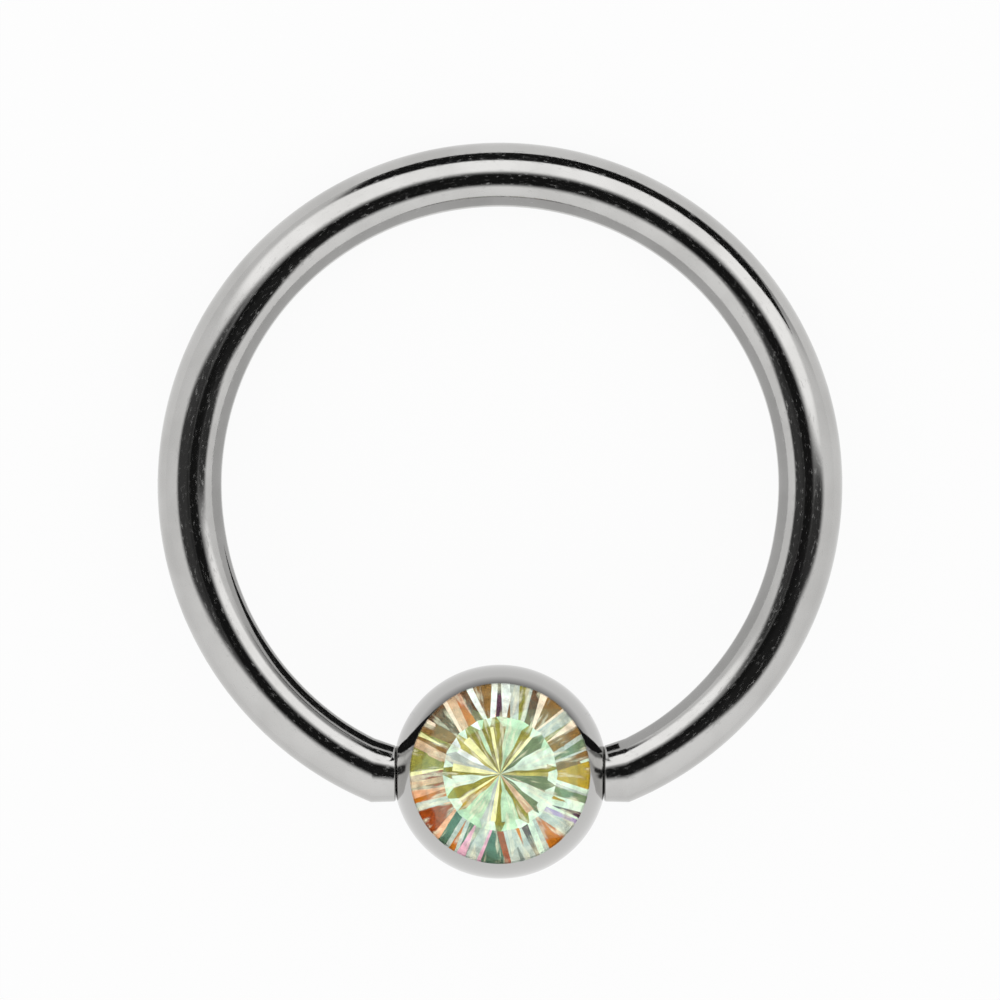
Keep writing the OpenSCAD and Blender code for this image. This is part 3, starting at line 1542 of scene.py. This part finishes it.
def hang(piece: bpy.types.Object, finish: bpy.types.Material, place: Matrix, seen_by: SeenBy) -> None:
    """Dresses a piece of the studio, puts it in place and hides it from all but what sees it.

    Args:
        piece: The piece.
        finish: Its material.
        place: Where it goes.
        seen_by: What alone sees it.
    """
    piece.data.materials.append(finish)
    piece.matrix_world = place
    piece.visible_camera = False
    piece.visible_diffuse = False
    piece.visible_shadow = False
    piece.visible_glossy = seen_by is SeenBy.MIRRORS
    piece.visible_transmission = seen_by is SeenBy.GLASS
    log.info("%s: %d faces, seen by %s", piece.name, len(piece.data.polygons), seen_by.value)


@dataclass
class LightTent:
    """A small tent of white cloth that the steel mirrors. Only mirrors and glass see it.

    Attributes:
        radius: Radius of the tent.
        cloth: Brightness of the plain cloth.
        patches: What hangs on the cloth, each one over those before it.
        around: Faces round each dome.
        side_steps: Faces from its top to its bottom.
        liner_gap: How far the liner hangs outside the tent.
        liner_light: Brightness of the liner.
        top_guard: Keeps the tent's very top clear of a division by nothing.
    """

    radius: float = 30 * MM
    cloth: float = 0.87
    # Name, right, far, half width, half height, turn, squareness, softness, light.
    patches: tuple[TentPatch, ...] = (
        TentPatch("near_wall", 0, -45, 82, 60, 0, 2.3, 0.95, 1.15),
        TentPatch("grey_drape", 55, 58, 30, 13, -35, 2.4, 0.6, 0.40),
        TentPatch("soft_box", -6, 41, 44, 22, 0, 2.2, 0.18, 1.5),
        TentPatch("soft_box_side", 39, 27, 18, 22, 15, 2.0, 0.25, 1.5),
        TentPatch("black_bar", 1, 73, 37, 15, 0, 5.0, 0.13, 0.012),
        TentPatch("camera_left", -31, 0, 20, 17, 0, 3.0, 0.25, 0.06),
        TentPatch("camera_body", 4, -7, 21, 26, 0, 2.2, 0.35, 0.012),
        TentPatch("camera_right", 36, -6, 18, 10, 0, 3.0, 0.4, 0.05),
        TentPatch("camera_grip", 24, -18, 22, 9, -30, 2.5, 0.35, 0.02),
    )
    around: int = 64
    side_steps: int = 32
    liner_gap: float = 2 * MM
    liner_light: float = 1.5
    top_guard: float = 0.001

    def make(self, place: RestingPlace, centre: Vector) -> None:
        """Puts up the tent, and round it the plain bright liner that only the stone's glass sees.

        Args:
            place: Where the ring rests, which the tent leans with.
            centre: Centre of the tent, in the flat drawing.
        """
        middle = place.matrix @ Matrix.Translation(centre)
        tent = self.dome("light_tent", self.radius)
        hang(tent, self.material(), middle, SeenBy.MIRRORS)
        liner = self.dome("glass_light", self.radius + self.liner_gap)
        hang(liner, glowing_material("glass_light", self.liner_light), middle, SeenBy.GLASS)

    def dome(self, name: str, radius: float) -> bpy.types.Object:
        """Builds a round dome.

        Args:
            name: Name of the object.
            radius: Radius of the dome.

        Returns:
            The dome.
        """
        piece = PieceMesh(name)
        loops = []
        for slope in steps(0.0, math.pi, self.side_steps):
            count = 1 if slope in (0.0, math.pi) else self.around
            loops.append(piece.circle(radius * math.sin(slope), radius * math.cos(slope), count))
        piece.join_all(loops)
        return piece.build(NO_EDGE_SHARP)

    def material(self) -> bpy.types.Material:
        """Makes the glowing cloth with its patches.

        Returns:
            The tent's material.
        """
        made, sheet = new_material("tent_cloth")
        unit = sheet.vector("NORMALIZE", sheet.run())
        x, y, z = sheet.node("ShaderNodeSeparateXYZ", {0: unit}).outputs
        slope = sheet.math("MULTIPLY", sheet.math("ARCCOSINE", z), math.degrees(1.0))
        squares = [sheet.math("MULTIPLY", part, part) for part in (x, y)]
        level = sheet.math("SQRT", sheet.math("ADD", *squares))
        stretch = sheet.math("DIVIDE", slope, sheet.math("MAXIMUM", level, self.top_guard))
        right = sheet.math("MULTIPLY", x, stretch)
        far = sheet.math("MULTIPLY", y, stretch)
        light: Any = self.cloth
        for patch in self.patches:
            light = sheet.blend(patch.mask(sheet, right, far), light, patch.light)
        sheet.finish(sheet.glow(light))
        return made


@dataclass(frozen=True)
class ArcCard:
    """A strip of card that stands on edge, bent round the hoop's centre.

    Attributes:
        name: What the card is.
        radius: Distance from the hoop's centre.
        first: Where it starts, in degrees clockwise from the far side.
        last: Where it ends.
        low: Height of its lower edge, from the plane of the wire.
        high: Height of its upper edge.
        taper: Degrees over which its last end tapers to a point.
        light: How brightly it shines.
    """

    name: str
    radius: float
    first: float
    last: float
    low: float
    high: float
    taper: float
    light: float


@dataclass(frozen=True)
class CheekStation:
    """One place along the black card behind the bead.

    Attributes:
        clock: Where it is, in degrees clockwise from the far side.
        low: Height of the lower edge, from the plane of the wire.
        high: Height of the upper edge.
    """

    clock: float
    low: float
    high: float


@dataclass
class MirrorCards:
    """Curved black and grey cards beside the wire and the bead. Only mirrors see them.

    Attributes:
        arcs: The cards that follow the hoop.
        collar_radius: Distance of the collar, behind the bead, from the bead's axis.
        collar_half: Half of what the collar spans, in degrees.
        collar_low: Height of its lower edge.
        collar_high: Height of its upper edge.
        shade_range: Heights between which the collar darkens.
        shade: How brightly it shines below and above them.
        cheek_radius: Distance of the black cheeks from the bead's axis.
        cheeks: Their stations, from left to right. In the middle only a thin strip joins them.
        black: How brightly the cheeks shine.
        card_steps: Faces along each card.
        cheek_steps: Faces from one station of the cheeks to the next.
    """

    # Name, radius, first, last, low, high, taper, light.
    arcs: tuple[ArcCard, ...] = (
        ArcCard("left_card", 4.6 * MM, 201, 258, -0.55 * MM, 0.25 * MM, 28, 0.01),
        ArcCard("right_card", 4.6 * MM, 159, 154.5, -0.55 * MM, 0.25 * MM, 0, 0.01),
        ArcCard("outer_card", 7.5 * MM, 12, 63, 0.6 * MM, 1.47 * MM, 12, 0.01),
        ArcCard("grey_band", 4.55 * MM, 159, -159, -2.0 * MM, 0.42 * MM, 0, 0.62),
    )
    collar_radius: float = 2.03 * MM
    collar_half: float = 75.5
    collar_low: float = -0.6 * MM
    collar_high: float = 1.0 * MM
    shade_range: tuple[float, float] = (0.69 * MM, 0.98 * MM)
    shade: tuple[float, float] = (0.88, 0.2)
    cheek_radius: float = 2.02 * MM
    # Clock, low, high.
    cheeks: tuple[CheekStation, ...] = (
        CheekStation(-79, 0.24 * MM, 0.52 * MM),
        CheekStation(-76, 0.30 * MM, 0.74 * MM),
        CheekStation(-70, 0.59 * MM, 1.00 * MM),
        CheekStation(-64, 0.73 * MM, 1.00 * MM),
        CheekStation(-58, 0.82 * MM, 1.00 * MM),
        CheekStation(-50, 0.90 * MM, 1.00 * MM),
        CheekStation(-30, 0.97 * MM, 1.00 * MM),
        CheekStation(48, 0.97 * MM, 1.00 * MM),
        CheekStation(58, 0.93 * MM, 1.00 * MM),
        CheekStation(64, 0.86 * MM, 1.00 * MM),
        CheekStation(70, 0.67 * MM, 1.00 * MM),
        CheekStation(76, 0.44 * MM, 0.80 * MM),
        CheekStation(79, 0.28 * MM, 0.56 * MM),
    )
    black: float = 0.01
    card_steps: int = 64
    cheek_steps: int = 8

    def make(self, place: RestingPlace, centre: Vector) -> None:
        """Cuts the cards and stands them up.

        Args:
            place: Where the ring rests.
            centre: Centre of the hoop, in the flat drawing.
        """
        for arc in self.arcs:
            glow = glowing_material(arc.name, arc.light)
            hang(self.bent(arc, centre), glow, place.matrix, SeenBy.MIRRORS)
        collar = [
            (clock_spot(clock, self.collar_radius), self.collar_low, self.collar_high)
            for clock in steps(-self.collar_half, self.collar_half, self.card_steps)
        ]
        hang(self.stand("shade_collar", collar), self.shaded(), place.matrix, SeenBy.MIRRORS)
        cheeks = []
        for here, ahead in zip(self.cheeks, self.cheeks[1:]):
            for share in steps(0.0, 1.0, self.cheek_steps):
                clock = here.clock + share * (ahead.clock - here.clock)
                low = here.low + share * (ahead.low - here.low)
                high = here.high + share * (ahead.high - here.high)
                cheeks.append((clock_spot(clock, self.cheek_radius), low, high))
        black = glowing_material("black_cheeks", self.black)
        hang(self.stand("black_cheeks", cheeks), black, place.matrix, SeenBy.MIRRORS)

    def bent(self, arc: ArcCard, centre: Vector) -> bpy.types.Object:
        """Cuts one card and bends it round the hoop's centre.

        Args:
            arc: The card.
            centre: Centre of the hoop, in the flat drawing.

        Returns:
            The card, in the flat drawing.
        """
        middle = (arc.low + arc.high) / 2
        edges = []
        for clock in steps(arc.first, arc.last, self.card_steps):
            left = abs(arc.last - clock)
            half = (arc.high - arc.low) / 2 * (left / arc.taper if left < arc.taper else 1.0)
            edges.append((centre + clock_spot(clock, arc.radius), middle - half, middle + half))
        return self.stand(arc.name, edges)

    @staticmethod
    def stand(name: str, edges: Sequence[tuple[Vector, float, float]]) -> bpy.types.Object:
        """Stands one card up.

        Args:
            name: Name of the object.
            edges: Along the card, the place, and the heights of its lower and upper edge.

        Returns:
            The card, in the flat drawing.
        """
        piece = PieceMesh(name)
        previous: list[int] = []
        for spot, low, high in edges:
            foot = Vector((spot.x, spot.y, low))
            top = Vector((spot.x, spot.y, high))
            pair = [piece.point(foot, foot), piece.point(top, top)]
            if previous:
                piece.faces.append([*previous, *reversed(pair)])
            previous = pair
        return piece.build(NO_EDGE_SHARP)

    def shaded(self) -> bpy.types.Material:
        """Makes the finish of the collar, which darkens upwards and is clear from behind.

        Returns:
            The material.
        """
        made, sheet = new_material("shade_collar")
        height = sheet.node("ShaderNodeSeparateXYZ", {0: sheet.run()}).outputs["Z"]
        glow = sheet.glow(sheet.mapped(height, self.shade_range, self.shade))
        clear = sheet.node("ShaderNodeBsdfTransparent").outputs[0]
        inner_side = sheet.node("ShaderNodeNewGeometry").outputs["Backfacing"]
        mixed = sheet.node("ShaderNodeMixShader", {0: inner_side, 1: clear, 2: glow})
        sheet.finish(mixed.outputs[0])
        return made


@dataclass
class WhiteSweep:
    """The pale floor and the plain light all round.

    Attributes:
        half_size: Half the floor's width.
        glow: Share of the floor's brightness that is its own, which keeps shadows faint.
        white: Brightness of the lit floor and of the room.
    """

    half_size: float = 1.0
    glow: float = 0.93
    white: float = 0.985

    def make(self) -> None:
        """Lays the floor and lights the room."""
        piece = PieceMesh("pale_floor")
        corners = ((-1, -1), (1, -1), (1, 1), (-1, 1))
        places = [Vector((x * self.half_size, y * self.half_size, 0.0)) for x, y in corners]
        piece.faces.append([piece.point(place, place) for place in places])
        floor = piece.build(NO_EDGE_SHARP)
        made, sheet = new_material("pale_floor")
        own = self.glow * self.white
        matt = self.white - own
        shader = sheet.node(
            "ShaderNodeBsdfPrincipled",
            {
                "Base Color": (matt, matt, matt, 1.0),
                "Roughness": 1.0,
                "Specular IOR Level": 0.0,
                "Emission Color": (1.0, 1.0, 1.0, 1.0),
                "Emission Strength": own,
            },
        )
        sheet.finish(shader.outputs[0])
        floor.data.materials.append(made)
        world = bpy.data.worlds.new("plain_room")
        world.use_nodes = True
        room = ShaderSheet(world.node_tree)
        light = room.node("ShaderNodeBackground", {"Color": (1.0, 1.0, 1.0, 1.0), "Strength": self.white})
        room.node("ShaderNodeOutputWorld", {"Surface": light.outputs[0]})
        bpy.context.scene.world = world
        bpy.context.scene.view_settings.view_transform = "Standard"
        log.info("%s: %.1f m wide", floor.name, 2 * self.half_size)


@dataclass
class PhotoCamera:
    """The camera, which looks straight down on the plane of the hoop.

    Attributes:
        lens: Focal length, in millimetres.
        sensor: Width of the sensor, in millimetres.
        view_width: Width of what it sees in the plane of the hoop.
        aim_below: How far below the hoop's centre it aims.
        clip_range: Nearest and farthest that it sees, as shares of its distance.
    """

    lens: float = 300.0
    sensor: float = 36.0
    view_width: float = 18.69 * MM
    aim_below: float = 0.28 * MM
    clip_range: tuple[float, float] = (0.1, 100.0)

    def make(self, place: RestingPlace, hoop_centre: Vector) -> None:
        """Sets up the camera.

        Args:
            place: Where the ring rests.
            hoop_centre: Centre of the hoop, in the flat drawing.
        """
        data = bpy.data.cameras.new("photo_camera")
        data.lens = self.lens
        data.sensor_width = self.sensor
        distance = self.view_width * self.lens / self.sensor
        data.clip_start, data.clip_end = [share * distance for share in self.clip_range]
        camera = bpy.data.objects.new("photo_camera", data)
        bpy.context.scene.collection.objects.link(camera)
        aim = hoop_centre - Vector((0.0, self.aim_below, 0.0))
        camera.matrix_world = place.matrix @ Matrix.Translation(aim + Vector((0.0, 0.0, distance)))
        bpy.context.scene.camera = camera
        log.info("%s: %.0f mm lens, %.3f m from the ring", camera.name, self.lens, distance)


def main() -> None:
    """Builds the studio, the ring, the bead and the stone, in that order."""
    logging.basicConfig(level=logging.INFO, format="%(name)s: %(message)s")
    place = RestingPlace.from_frame(frame)
    bead = SettingBead()
    wire_ring = WireRing(bead.radius)
    stone = BrilliantStone(bead)
    WhiteSweep().make()
    PhotoCamera().make(place, wire_ring.hoop_centre)
    LightTent().make(place, wire_ring.hoop_centre)
    MirrorCards().make(place, wire_ring.hoop_centre)
    wire_ring.make(place, PolishedSteel("wire_steel_polished", Slot.WIRE_STEEL))
    bead.make(place, PolishedSteel("bead_steel_polished", Slot.BEAD_STEEL))
    stone.make(place, CoatedCrystal(), MirrorFoil())


if __name__ == "__main__":
    main()
